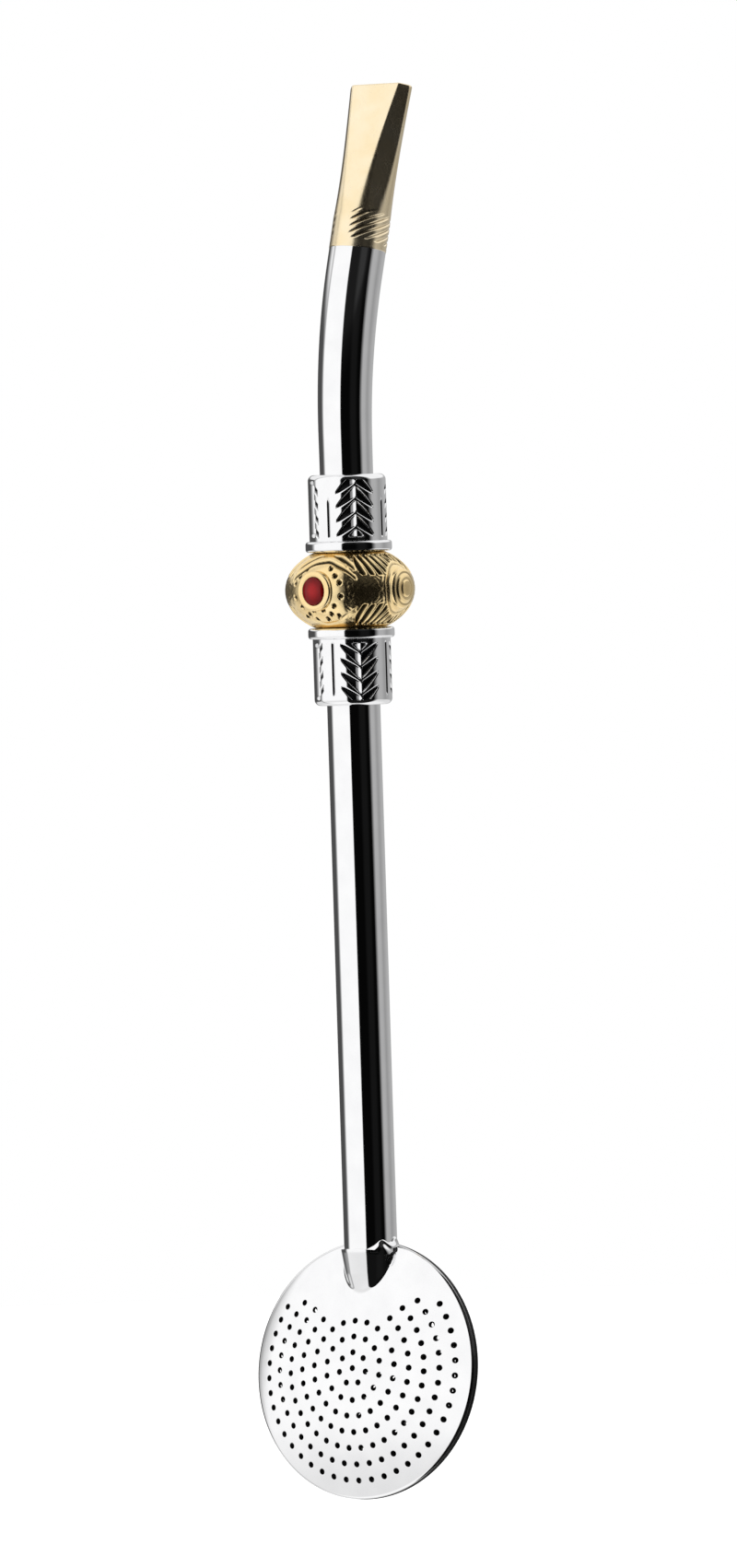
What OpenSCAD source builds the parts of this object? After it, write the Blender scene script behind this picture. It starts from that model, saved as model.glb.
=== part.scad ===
// Bombilla: a metal drinking straw for mate, soldered up from drawn tube, turned rings and pressed plates.
// Millimetres. +Z runs up the straight part of the stem, -Y is the front and the stem bends towards +Y.
// The origin lies on the line of the stem, level with the lowest point of the filter.

/* [Stem] */
// Outside diameter of the drawn tube
stem_od = 8; // [6.5:0.1:9]
// Wall of the drawn tube
stem_wall = 0.5; // [0.4:0.05:0.8]
// Straight run between the upper sleeve and the start of the bend
run_below_bend = 5.7; // [3:0.1:20]
// Radius of the bend, on the centre line
bend_radius = 80; // [50:1:110]
// Angle of the bend
bend_angle = 18; // [8:0.5:30]
// Straight run between the end of the bend and the mouthpiece
run_above_bend = 3.8; // [3:0.1:20]

/* [Filter] */
// Diameter of the disc
disc_d = 39; // [34:0.5:46]
// Lean of the disc against the stem, with its foot to the front
filter_lean = 9; // [0:0.5:14]
// Height of the crown of one plate above the joint between the plates
crown_h = 4.2; // [3.6:0.1:5.2]
// Radius of the rolled edge, which the dome runs into
edge_roll = 0.9; // [0.7:0.05:1.1]
// Thickness of the sheet
plate_t = 0.6; // [0.4:0.05:0.8]
// Width of the soldered land where the two plates meet
land_w = 1.2; // [0.9:0.1:1.6]

/* [Perforation] */
// Diameter of one hole
hole_d = 0.9; // [0.6:0.05:1.2]
// Holes in the centre and in each ring round it, if the rings were whole
ring_holes = [1, 7, 14, 21, 28, 35, 40, 46];
// Plain border outside the last ring
border_w = 2.8; // [2:0.1:4]
// Turn of the whole pattern about the crown, in degrees
pattern_turn = 2; // [-12:1:12]
// Plain metal between the end of the neck's socket and the holes below it
blank_below_neck = 2.9; // [2.5:0.1:5]
// Rise of the plain field's lower edge per millimetre sideways
blank_slope = 0.285; // [0.25:0.005:0.4]

/* [Neck] */
// Wall of the half socket pressed into each plate
neck_wall = 0.45; // [0.35:0.05:0.7]
// Drop from the top of the disc to the mouth of the socket
neck_mouth_drop = 1.8; // [1.6:0.1:2.4]
// Straight length of the socket, above its round end
neck_len = 3; // [2.5:0.1:6]

/* [Bead] */
// Height of the bead's middle above the foot of the filter
bead_z = 136.6; // [110:0.2:150]
// Largest diameter of the bead
bead_d = 19.6; // [18:0.1:23]
// Height of the bead between the collars
bead_h = 11.4; // [10:0.1:12]
// Radius of the bead's bulge
bulge_r = 6.4; // [6.2:0.1:7.5]
// Wall of the pressed half shells
bead_wall = 0.6; // [0.4:0.05:0.9]

/* [Collars] */
// Diameter of the collars
collar_d = 13; // [12.4:0.1:14]
// Thickness of the collars
collar_t = 1.6; // [1.2:0.1:2.4]
// Rounding of the collars' edges
collar_round = 0.45; // [0.2:0.05:0.55]
// Height of the spigots that centre the sleeve and the bead
spigot_h = 0.8; // [0.5:0.1:1.2]

/* [Sleeves] */
// Diameter of the sleeves
sleeve_d = 11.7; // [11.2:0.1:12.2]
// Length of the sleeves
sleeve_len = 10; // [8:0.2:14]
// Wall of the sleeves
sleeve_wall = 0.75; // [0.6:0.05:0.9]
// Thickness of the lip turned in to the stem
lip_t = 1; // [0.7:0.1:1.4]
// Rounding of the sleeves' free ends
sleeve_round = 0.9; // [0.5:0.05:1.1]

/* [Leaf chasing] */
// Leaves round a sleeve
leaf_count = 4; // [3:1:5]
// Pairs of barbs on a leaf
barb_pairs = 4; // [3:1:5]
// Plain band at each end of a leaf
leaf_margin = 1.3; // [1:0.1:2]
// Slope of the barbs against the leaf's rib, in degrees
barb_slope = 50; // [35:1:65]
// Radius of the scoop that cuts a barb
barb_r = 0.6; // [0.4:0.05:0.7]
// Length of a barb
barb_len = 2.3; // [1.6:0.1:2.8]
// Depth of a barb
barb_depth = 0.35; // [0.2:0.05:0.45]
// Half width of the rib left between the barbs
rib_half_w = 0.25; // [0.15:0.05:0.5]

/* [Mouthpiece] */
// Length along the stem
mouth_len = 25.5; // [18:0.5:32]
// Width of the flattened tip
tip_w = 10.8; // [9:0.1:12.5]
// Thickness of the flattened tip
tip_t = 3.5; // [2.8:0.1:4.5]
// Wall at the tip
tip_wall = 0.6; // [0.4:0.05:0.8]
// Wall round the end of the stem
socket_wall = 0.35; // [0.25:0.05:0.6]
// Height of the round foot, which the stem enters to its full depth
socket_depth = 4; // [3:0.5:8]

/* [Medallions] */
// Diameter of a stone
stone_d = 4.1; // [3.2:0.1:4.6]
// Height of a stone's domed face
stone_dome = 0.45; // [0.2:0.05:0.8]
// Outside diameter of a bezel or a boss
bezel_d = 5.8; // [5.2:0.1:6.6]
// Height of a bezel's floor above the crown of the bead
bezel_floor = 0.25; // [0.15:0.05:0.5]
// Depth of a bezel's cup
bezel_cup = 0.35; // [0.2:0.05:0.6]
// Height of a boss's domed middle above its rim
boss_dome = 0.3; // [0.1:0.05:0.6]

/* [Fit] */
// Gap that the solder fills between two pieces
solder_gap = 0.05; // [0.02:0.01:0.08]

/* [Hidden] */
$fn = 64;
// Reach of a cutter past the face that it cuts
past = 1;
// Lap between two runs of one tube
lap = 0.005;
silver = [0.80, 0.80, 0.82];
gold = [0.88, 0.72, 0.42];
ruby = [0.55, 0.05, 0.07];

stem_r = stem_od / 2;
bore_r = stem_r - stem_wall;
seat_r = stem_r + solder_gap;

disc_r = disc_d / 2;
roll_x = disc_r - edge_roll;
dome_r = (roll_x * roll_x + crown_h * crown_h - edge_roll * edge_roll) / (2 * (crown_h - edge_roll));
dome_drop = dome_r - crown_h;
roll_start = roll_x * dome_r / (dome_r - edge_roll);

neck_r = seat_r + neck_wall;
// Along the disc, from its foot to the lower end of the stem and to the point about which it leans
foot_drop = disc_d - neck_mouth_drop - neck_len;
lean_drop = foot_drop - neck_r / 2;
lean_z = (lean_drop - edge_roll) * cos(filter_lean) + edge_roll;
neck_end_z = lean_z + neck_r / 2;
neck_mouth_z = neck_end_z + neck_len;

rings = len(ring_holes) - 1;
ring_pitch = (disc_r - border_w) / rings;
blank_rise = foot_drop - neck_r - disc_r - blank_below_neck;

bead_r = bead_d / 2;
bulge_x = bead_r - bulge_r;
bead_foot = bead_z - bead_h / 2;
bead_head = bead_z + bead_h / 2;

collar_r = collar_d / 2;
sleeve_r = sleeve_d / 2;
spigot_seat_r = sleeve_r - sleeve_wall;
spigot_r = spigot_seat_r - solder_gap;
lower_sleeve_head = bead_foot - collar_t;
upper_sleeve_foot = bead_head + collar_t;

bend_z = upper_sleeve_foot + sleeve_len + run_below_bend;
mouth_r = seat_r + socket_wall;

bezel_r = bezel_d / 2;
stone_r = stone_d / 2;
stone_seat_r = stone_r + solder_gap;
bezel_floor_h = bead_r + bezel_floor;
bezel_rim_h = bezel_floor_h + bezel_cup;
front_turn = 0;
right_turn = 90;
back_turn = 180;
left_turn = 270;

// Places its children at the end of the bend, with +Z along the upper run
module past_bend(along) {
    translate([0, bend_radius, bend_z])
        rotate([-bend_angle, 0, 0])
            translate([0, -bend_radius, along])
                children();
}

// The bent tube up to the end of its bend, as a bar of radius r from a given height
module lower_bar(r, foot) {
    translate([0, 0, bend_z])
        mirror([0, 0, 1])
            cylinder(r = r, h = bend_z - foot);
    translate([0, bend_radius, bend_z])
        rotate([0, 0, -90])
            rotate([90, 0, 0])
                rotate_extrude(angle = bend_angle, $fn = 180)
                    translate([bend_radius, 0])
                        circle(r = r);
}

// The straight run above the bend laps the end of the bend by a hair on every side, so the tube is one piece
module upper_tube() {
    end = run_above_bend + socket_depth - solder_gap;
    past_bend(-lap)
        difference() {
            cylinder(r = stem_r + lap, h = end + lap);
            translate([0, 0, -past])
                cylinder(r = bore_r - lap, h = end + lap + 2 * past);
        }
}

module stem_tube() {
    color(silver)
        union() {
            difference() {
                lower_bar(stem_r, neck_end_z);
                lower_bar(bore_r, neck_end_z - past);
            }
            upper_tube();
        }
}

// A flat oval slab, width w and thickness t, with half round ends
module oval_slab(w, t, h) {
    for (side = [-1, 1])
        translate([side * (w - t) / 2, 0, 0])
            cylinder(r = t / 2, h = h, $fn = 48);
}

// A loft from a round foot to a flat oval head
module round_to_oval(r, w, t, foot, head) {
    slab_h = 0.01;
    hull() {
        translate([0, 0, foot])
            cylinder(r = r, h = slab_h, $fn = 48);
        translate([0, 0, head - slab_h])
            oval_slab(w, t, slab_h);
    }
}

module mouthpiece() {
    color(gold)
        past_bend(run_above_bend)
            difference() {
                union() {
                    cylinder(r = mouth_r, h = socket_depth);
                    round_to_oval(mouth_r, tip_w, tip_t, socket_depth, mouth_len);
                }
                round_to_oval(bore_r, tip_w - 2 * tip_wall, tip_t - 2 * tip_wall,
                              socket_depth, mouth_len + past);
                translate([0, 0, -past])
                    cylinder(r = seat_r, h = socket_depth + past);
            }
}

// Half section of a sleeve: its open end at height 0, its free end rounded and turned in to the stem
module sleeve_section() {
    difference() {
        union() {
            square([sleeve_r, sleeve_len - sleeve_round]);
            square([sleeve_r - sleeve_round, sleeve_len]);
            translate([sleeve_r - sleeve_round, sleeve_len - sleeve_round])
                circle(r = sleeve_round);
        }
        translate([0, -past])
            square([seat_r, sleeve_len + 2 * past]);
        translate([0, -past])
            square([spigot_seat_r, sleeve_len - lip_t + past]);
    }
}

// One scooped barb on the side of a leaf, rising towards the rib
module barb(side, height) {
    axis_r = sleeve_r - barb_depth + barb_r;
    translate([side * rib_half_w, -axis_r, height])
        rotate([0, side * (180 - barb_slope), 0])
            cylinder(r = barb_r, h = barb_len, $fn = 24);
}

module leaf_cuts() {
    pitch = (sleeve_len - 2 * leaf_margin) / barb_pairs;
    for (leaf = [0:leaf_count - 1], side = [-1, 1], pair = [0:barb_pairs - 1])
        rotate([0, 0, (leaf + 0.5) * 360 / leaf_count])
            barb(side, leaf_margin + (pair + 1) * pitch);
}

// A chased sleeve standing on its open end
module sleeve() {
    color(silver)
        difference() {
            rotate_extrude()
                sleeve_section();
            leaf_cuts();
        }
}

module upper_sleeve() {
    translate([0, 0, upper_sleeve_foot])
        sleeve();
}

module lower_sleeve() {
    translate([0, 0, lower_sleeve_head])
        mirror([0, 0, 1])
            sleeve();
}

// A turned collar, with a spigot up into a sleeve and a spigot down into the bead
module collar() {
    color(silver)
        rotate_extrude()
            difference() {
                union() {
                    square([collar_r - collar_round, collar_t]);
                    translate([0, collar_round])
                        square([collar_r, collar_t - 2 * collar_round]);
                    for (h = [collar_round, collar_t - collar_round])
                        translate([collar_r - collar_round, h])
                            circle(r = collar_round);
                    translate([0, -spigot_h])
                        square([spigot_r, collar_t + 2 * spigot_h]);
                }
                translate([0, -past - spigot_h])
                    square([seat_r, collar_t + 2 * (spigot_h + past)]);
            }
}

module upper_collar() {
    translate([0, 0, bead_head])
        collar();
}

module lower_collar() {
    translate([0, 0, bead_foot])
        mirror([0, 0, 1])
            collar();
}

// Half section of the bead's bulge, grown outwards or, with a negative value, inwards
module bulge_section(grow) {
    intersection() {
        union() {
            translate([bulge_x, 0])
                circle(r = bulge_r + grow, $fn = 96);
            translate([0, -bulge_r - grow])
                square([bulge_x, 2 * (bulge_r + grow)]);
        }
        translate([0, -bead_h / 2])
            square([bead_r + grow, bead_h]);
    }
}

// The upper half of the bead's hollow shell, with its middle at height 0
module half_bead() {
    color(gold)
        rotate_extrude($fn = 96)
            difference() {
                intersection() {
                    bulge_section(0);
                    square([bead_r, bead_h / 2]);
                }
                bulge_section(-bead_wall);
                translate([0, -past])
                    square([spigot_seat_r, bead_h]);
            }
}

module bead_upper_shell() {
    translate([0, 0, bead_z])
        half_bead();
}

module bead_lower_shell() {
    translate([0, 0, bead_z])
        mirror([0, 0, 1])
            half_bead();
}

// Places its children on a medallion's own axis, with +Z pointing out of the bead
module at_medallion(turn) {
    translate([0, 0, bead_z])
        rotate([90, 0, turn])
            children();
}

// The space that the bead takes up, with room for solder
module bead_space() {
    translate([0, 0, bead_z])
        rotate_extrude($fn = 96)
            bulge_section(solder_gap);
}

module bezel(turn) {
    color(gold)
        difference() {
            at_medallion(turn)
                cylinder(r = bezel_r, h = bezel_rim_h);
            at_medallion(turn)
                translate([0, 0, bezel_floor_h])
                    cylinder(r = stone_seat_r, h = bezel_cup + past);
            bead_space();
        }
}

// A round stone with a low domed face, seated in its bezel's cup
module stone(turn) {
    dome_sphere_r = (stone_r * stone_r + stone_dome * stone_dome) / (2 * stone_dome);
    girdle_h = bezel_cup - solder_gap;
    color(ruby)
        at_medallion(turn)
            translate([0, 0, bezel_floor_h + solder_gap])
                intersection() {
                    cylinder(r = stone_r, h = girdle_h + stone_dome);
                    translate([0, 0, girdle_h + stone_dome - dome_sphere_r])
                        sphere(r = dome_sphere_r, $fn = 96);
                }
}

// A plain gold boss: a flat rim with a low dome inside it
module boss(turn) {
    dome_sphere_r = (stone_r * stone_r + boss_dome * boss_dome) / (2 * boss_dome);
    color(gold)
        difference() {
            at_medallion(turn) {
                cylinder(r = bezel_r, h = bezel_rim_h);
                intersection() {
                    cylinder(r = stone_r, h = bezel_rim_h + boss_dome);
                    translate([0, 0, bezel_rim_h + boss_dome - dome_sphere_r])
                        sphere(r = dome_sphere_r, $fn = 96);
                }
            }
            bead_space();
        }
}

module front_bezel() {
    bezel(front_turn);
}

module front_stone() {
    stone(front_turn);
}

module back_bezel() {
    bezel(back_turn);
}

module back_stone() {
    stone(back_turn);
}

module right_boss() {
    boss(right_turn);
}

module left_boss() {
    boss(left_turn);
}

// Half section of one plate's outside: the dome and the rolled edge, above the joint at height 0
module dome_section() {
    intersection() {
        translate([0, -dome_drop])
            circle(r = dome_r, $fn = 360);
        translate([0, -past])
            square([roll_start, crown_h + past]);
    }
    translate([roll_x, 0])
        circle(r = edge_roll);
}

// Half section of the hollow under one plate
module hollow_section() {
    intersection() {
        translate([0, -dome_drop])
            circle(r = dome_r - plate_t, $fn = 360);
        translate([0, -past])
            square([disc_r - land_w, crown_h + past]);
    }
}

// The pressed half socket: a round bar with a round end, on the stem's line
module socket_form(r, mouth) {
    translate([0, 0, neck_end_z])
        rotate_extrude() {
            intersection() {
                circle(r = r);
                translate([0, -r])
                    square([r, r]);
            }
            square([r, mouth - neck_end_z]);
        }
}

// One hole in each place of the rings, left out in the plain field under the neck
module perforation() {
    for (ring = [0:rings], i = [0:ring_holes[ring] - 1]) {
        angle = 90 + i * 360 / ring_holes[ring];
        x = ring * ring_pitch * cos(angle);
        y = ring * ring_pitch * sin(angle);
        if (y < blank_rise + blank_slope * abs(x))
            translate([x, y, 0])
                cylinder(d = hole_d, h = crown_h + past, $fn = 16);
    }
}

// Places its children on the leaning disc's own axis, with +Z pointing to the front or, turned, to the back
module at_disc(turn) {
    translate([0, 0, lean_z])
        rotate([-filter_lean, 0, 0])
            translate([0, 0, disc_r - lean_drop])
                rotate([90, 0, turn])
                    children();
}

// One half of the filter, up to the joint between the plates
module filter_plate(turn) {
    color(silver)
        difference() {
            union() {
                at_disc(turn)
                    rotate_extrude($fn = 180)
                        dome_section();
                socket_form(neck_r, neck_mouth_z);
            }
            at_disc(turn)
                rotate_extrude($fn = 180)
                    hollow_section();
            at_disc(turn)
                rotate([0, 0, pattern_turn])
                    perforation();
            at_disc(turn)
                translate([-disc_d, -disc_d, -disc_d])
                    cube([2 * disc_d, 2 * disc_d, disc_d]);
            socket_form(seat_r, disc_d + past);
        }
}

module filter_front_plate() {
    filter_plate(front_turn);
}

module filter_back_plate() {
    filter_plate(back_turn);
}

stem_tube();
mouthpiece();
upper_sleeve();
lower_sleeve();
upper_collar();
lower_collar();
bead_upper_shell();
bead_lower_shell();
front_bezel();
front_stone();
back_bezel();
back_stone();
right_boss();
left_boss();
filter_front_plate();
filter_back_plate();
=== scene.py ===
"""Bombilla: the looks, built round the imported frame. Lengths are in millimetres unless they say metres."""
import math

import bmesh
import bpy
import numpy as np
from mathutils import Matrix, Vector
from mathutils.geometry import delaunay_2d_cdt


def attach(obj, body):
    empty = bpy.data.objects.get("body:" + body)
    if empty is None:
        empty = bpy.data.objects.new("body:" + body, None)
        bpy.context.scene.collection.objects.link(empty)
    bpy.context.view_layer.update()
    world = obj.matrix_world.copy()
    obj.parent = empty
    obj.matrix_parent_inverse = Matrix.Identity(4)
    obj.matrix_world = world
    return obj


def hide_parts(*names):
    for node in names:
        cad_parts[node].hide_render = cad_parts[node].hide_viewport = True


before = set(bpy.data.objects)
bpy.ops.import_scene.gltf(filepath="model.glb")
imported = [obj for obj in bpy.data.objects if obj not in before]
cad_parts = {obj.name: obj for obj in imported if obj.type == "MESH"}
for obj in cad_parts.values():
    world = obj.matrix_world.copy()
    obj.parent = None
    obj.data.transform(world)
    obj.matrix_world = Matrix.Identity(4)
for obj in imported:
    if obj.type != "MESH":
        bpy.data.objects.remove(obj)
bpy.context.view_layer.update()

MM = 0.001
TAU = 2 * math.pi
QUARTER = TAU / 4

# The photograph's view: to the right of the front, a little above level, rolled by under 2 degrees
VIEW_AZIMUTH = math.radians(33.26)
VIEW_ELEVATION = math.radians(1.75)
VIEW_ROLL = math.radians(-1.80)

# Stem, as in the part's source, apart from the head, which widens a little towards the mouthpiece
STEM_R = 4.0
STEM_HEAD_R = 4.26
WIDEN_BELOW_BEND = 8.0
BORE_R = 3.5
BEND_Z = 159.6
BEND_RADIUS = 80.0
BEND_ANGLE = math.radians(18)
RUN_ABOVE_BEND = 3.8
SOCKET_DEPTH = 4.0

# Filter: two domed plates that lean with the foot forward, half of the neck's socket pressed into each
DISC_R = 19.5
LEAN = math.radians(9)
LEAN_DROP = 31.95
EDGE_ROLL = 0.9
CROWN_H = 4.2
PLATE_T = 0.6
LAND_W = 1.2
NECK_R = 4.5
NECK_LEN = 3.4
NECK_TAPER = 0.145
NECK_SINK = 0.21
NECK_SINK_GAIN = 0.022
NECK_FILLET = 0.45
NECK_MOUTH_SHIFT = 0.35
RIM_ROLL = 0.8
RIM_TURN = math.radians(64)
RIM_INSET = 0.06
LAND_R = DISC_R - LAND_W
ROLL_X = DISC_R - EDGE_ROLL
DOME_R = (ROLL_X ** 2 + CROWN_H ** 2 - EDGE_ROLL ** 2) / (2 * (CROWN_H - EDGE_ROLL))
DOME_DROP = DOME_R - CROWN_H
RIM_OUT = DISC_R - RIM_INSET
RIM_X = RIM_OUT - RIM_ROLL * math.sin(RIM_TURN)
ROLL_START = RIM_X * DOME_R / (DOME_R - RIM_ROLL)
LEAN_Z = (LEAN_DROP - EDGE_ROLL) * math.cos(LEAN) + EDGE_ROLL
NECK_END_Z = LEAN_Z + NECK_R / 2
NECK_MOUTH_Z = NECK_END_Z + NECK_LEN
DISC_Y = (DISC_R - LEAN_DROP) * math.sin(LEAN)
DISC_Z = LEAN_Z + (DISC_R - LEAN_DROP) * math.cos(LEAN)

# Holes, in rings round the middle, with a bare field below the neck
HOLE_R = 0.45
HOLE_FOOT_R = 0.35
HOLE_MOUTH_R = 0.49
HOLE_MARGIN = 2.8
RING_HOLES = (1, 7, 14, 21, 28, 35, 40, 46)
RING_PITCH = (DISC_R - HOLE_MARGIN) / (len(RING_HOLES) - 1)
PATTERN_TURN = math.radians(2)
BLANK_RISE = 7.3
BLANK_SLOPE = 0.285

# A hole's wall from its worn edge inwards: radius, depth under the dome, darkness of the painted shade on it
HOLE_WALL = ((0.47, 0.006, 0.2), (0.455, 0.02, 0.9), (HOLE_R, 0.05, 0.85), (HOLE_FOOT_R, PLATE_T - 0.04, 0.9))

# Bead, collars and sleeves
BEAD_Z = 136.6
BEAD_R = 9.8
BEAD_HALF = 5.7
BEAD_OVAL = 6.75
BEAD_WALL = 0.6
SPIGOT_SEAT_R = 5.1
COLLAR_R = 6.5
COLLAR_T = 1.6
COLLAR_ROUND = 0.45
SPIGOT_R = 5.05
SPIGOT_H = 0.8
SEAT_R = 4.05
SLEEVE_R = 5.85
SLEEVE_LEN = 10.0
SLEEVE_ROUND = 0.9
SLEEVE_EDGE = 0.06
LIP_T = 1.0

# Mouthpiece: a round foot drawn out to a flat tip, whose sides are bevelled to a soft edge
MOUTH_LEN = 25.5
MOUTH_R = 4.3
TIP_HALF_W = 5.4
TIP_HALF_T = 1.75
TIP_CORNER = 0.85
TIP_WALL = 0.6
TIP_SIDE_WALL = 0.78
TIP_ROUND = 0.3
SLOT_CORNER = 0.25
BEVEL_TURN = math.radians(39)
FACE_SPREAD = math.radians(5)


# Shader helpers

def new_material(name):
    mat = bpy.data.materials.new(name)
    mat.use_nodes = True
    nodes = mat.node_tree.nodes
    return mat, nodes, mat.node_tree.links, nodes["Principled BSDF"]


def feed(links, socket, value):
    """Links an output to a socket, or sets the socket to a number or a colour."""
    if hasattr(value, "links"):
        links.new(value, socket)
    elif isinstance(value, tuple):
        socket.default_value = (*value, 1)
    else:
        socket.default_value = value


def grey(level):
    return (level, level, level)


def noise(nodes, links, scale, detail, stretch=None):
    """A noise texture on object coordinates; scale is in waves a metre."""
    coords = nodes.new("ShaderNodeTexCoord")
    tex = nodes.new("ShaderNodeTexNoise")
    tex.inputs["Scale"].default_value = scale
    tex.inputs["Detail"].default_value = detail
    place = coords.outputs["Object"]
    if stretch:
        mapping = nodes.new("ShaderNodeMapping")
        mapping.inputs["Scale"].default_value = stretch
        links.new(place, mapping.inputs["Vector"])
        place = mapping.outputs["Vector"]
    links.new(place, tex.inputs["Vector"])
    return tex.outputs["Fac"]


def map_range(nodes, links, value, source, target, kind="LINEAR"):
    """Maps a value from one range to another, and holds it at that range's ends."""
    node = nodes.new("ShaderNodeMapRange")
    node.interpolation_type = kind
    for name, number in zip(("From Min", "From Max", "To Min", "To Max"), (*source, *target)):
        node.inputs[name].default_value = number
    links.new(value, node.inputs["Value"])
    return node.outputs["Result"]


def spread(nodes, links, value, low, high):
    """Maps the middle of a noise to a range."""
    return map_range(nodes, links, value, (0.3, 0.7), (low, high))


def mix_colour(nodes, links, factor, first, second):
    node = nodes.new("ShaderNodeMix")
    node.data_type = "RGBA"
    links.new(factor, node.inputs["Factor"])
    feed(links, node.inputs[6], first)
    feed(links, node.inputs[7], second)
    return node.outputs[2]


def mix_value(nodes, links, factor, first, second):
    node = nodes.new("ShaderNodeMix")
    node.data_type = "FLOAT"
    links.new(factor, node.inputs["Factor"])
    feed(links, node.inputs[2], first)
    feed(links, node.inputs[3], second)
    return node.outputs[0]


def math_node(nodes, links, operation, first, second, clamp=False):
    node = nodes.new("ShaderNodeMath")
    node.operation = operation
    node.use_clamp = clamp
    feed(links, node.inputs[0], first)
    feed(links, node.inputs[1], second)
    return node.outputs[0]


def mesh_mark(nodes, name):
    """A value from 0 to 1 that the mesh carries at its points."""
    node = nodes.new("ShaderNodeAttribute")
    node.attribute_name = name
    return node.outputs["Fac"]


# Metals

CLOUD_WAVES = 260
FINE_WAVES = 2600
BUMP_METRES = 0.00002

SILVER_BRIGHT = (0.91, 0.91, 0.915)
SILVER_WORN = (0.86, 0.86, 0.868)
# Painted shade for the filter's hole walls, its inside and the groove at its rim
SILVER_PAINTED_SHADE = (0.03, 0.03, 0.03)
SILVER_CUT = (0.02, 0.02, 0.021)
GILT_PALE = (0.96, 0.83, 0.60)
GILT_DEEP = (0.93, 0.77, 0.50)
GILT_CUT = (0.10, 0.07, 0.025)
GOLD_BRIGHT = (0.98, 0.79, 0.45)
GOLD_WORN = (0.94, 0.70, 0.34)
GOLD_CUT = (0.03, 0.023, 0.010)


def metal(name, bright, worn, rough, bump, streak=None, cut_colour=None, cut_rough=None):
    """Polished metal: two close tones, uneven gloss, fine streaks, dark in the cuts the mesh marks; the dark
    is patina in the chasing and painted shade in the filter.
    """
    mat, nodes, links, shader = new_material(name)
    shader.inputs["Metallic"].default_value = 1
    cloud = noise(nodes, links, CLOUD_WAVES, 4)
    fine = noise(nodes, links, FINE_WAVES, 3, streak)
    colour = mix_colour(nodes, links, spread(nodes, links, cloud, 0, 1), bright, worn)
    gloss = spread(nodes, links, fine, *rough)
    if cut_colour:
        cut = mesh_mark(nodes, "cut")
        colour = mix_colour(nodes, links, cut, colour, cut_colour)
        gloss = mix_value(nodes, links, cut, gloss, cut_rough)
    links.new(colour, shader.inputs["Base Color"])
    links.new(gloss, shader.inputs["Roughness"])
    relief = nodes.new("ShaderNodeBump")
    relief.inputs["Strength"].default_value = bump
    relief.inputs["Distance"].default_value = BUMP_METRES
    links.new(fine, relief.inputs["Height"])
    links.new(relief.outputs["Normal"], shader.inputs["Normal"])
    return mat


silver_tube = metal("silver_tube", SILVER_BRIGHT, SILVER_WORN,
                    rough=(0.03, 0.06), bump=0.012, streak=(1, 1, 0.03))
# The filter plates take painted shade where the mesh marks them dark
silver_plate = metal("silver_plate", SILVER_BRIGHT, SILVER_WORN,
                     rough=(0.04, 0.08), bump=0.012, cut_colour=SILVER_PAINTED_SHADE, cut_rough=0.6)
silver_chased = metal("silver_chased", SILVER_BRIGHT, SILVER_WORN,
                      rough=(0.05, 0.09), bump=0.02, cut_colour=SILVER_CUT, cut_rough=0.45)
silver_turned = metal("silver_turned", SILVER_BRIGHT, SILVER_WORN,
                      rough=(0.04, 0.08), bump=0.02, streak=(0.05, 0.05, 1))
gilt_mouthpiece = metal("gilt_mouthpiece", GILT_PALE, GILT_DEEP,
                        rough=(0.20, 0.28), bump=0.03, streak=(1, 1, 0.05),
                        cut_colour=GILT_CUT, cut_rough=0.4)
gilt_bead = metal("gilt_bead", GOLD_BRIGHT, GOLD_WORN,
                  rough=(0.18, 0.27), bump=0.06, cut_colour=GOLD_CUT, cut_rough=0.45)


# Stone

STONE_WAVES = 900
STONE_EDGE = (0.21, 0.002, 0.003)
# The stone's lighter middle: painted light, as of light shining through it
STONE_PAINTED_GLOW = (0.60, 0.022, 0.026)
STONE_CLOUD = (0.38, 0.005, 0.008)
STONE_CLOUDED = 0.35
STONE_ROUGH = (0.05, 0.12)
STONE_SPECULAR = 0.2


def stone_material():
    """Deep red stone with a soft polish, lighter towards its middle: painted light, as of light shining
    through the stone.
    """
    mat, nodes, links, shader = new_material("red_stone")
    cloud = noise(nodes, links, STONE_WAVES, 3)
    red = mix_colour(nodes, links, mesh_mark(nodes, "painted_glow"), STONE_EDGE, STONE_PAINTED_GLOW)
    red = mix_colour(nodes, links, spread(nodes, links, cloud, 0, STONE_CLOUDED), red, STONE_CLOUD)
    links.new(red, shader.inputs["Base Color"])
    links.new(spread(nodes, links, cloud, *STONE_ROUGH), shader.inputs["Roughness"])
    shader.inputs["Specular IOR Level"].default_value = STONE_SPECULAR
    return mat


red_stone = stone_material()


# Mesh helpers

WELD_METRES = 1e-7
TINY = 1e-6


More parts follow.
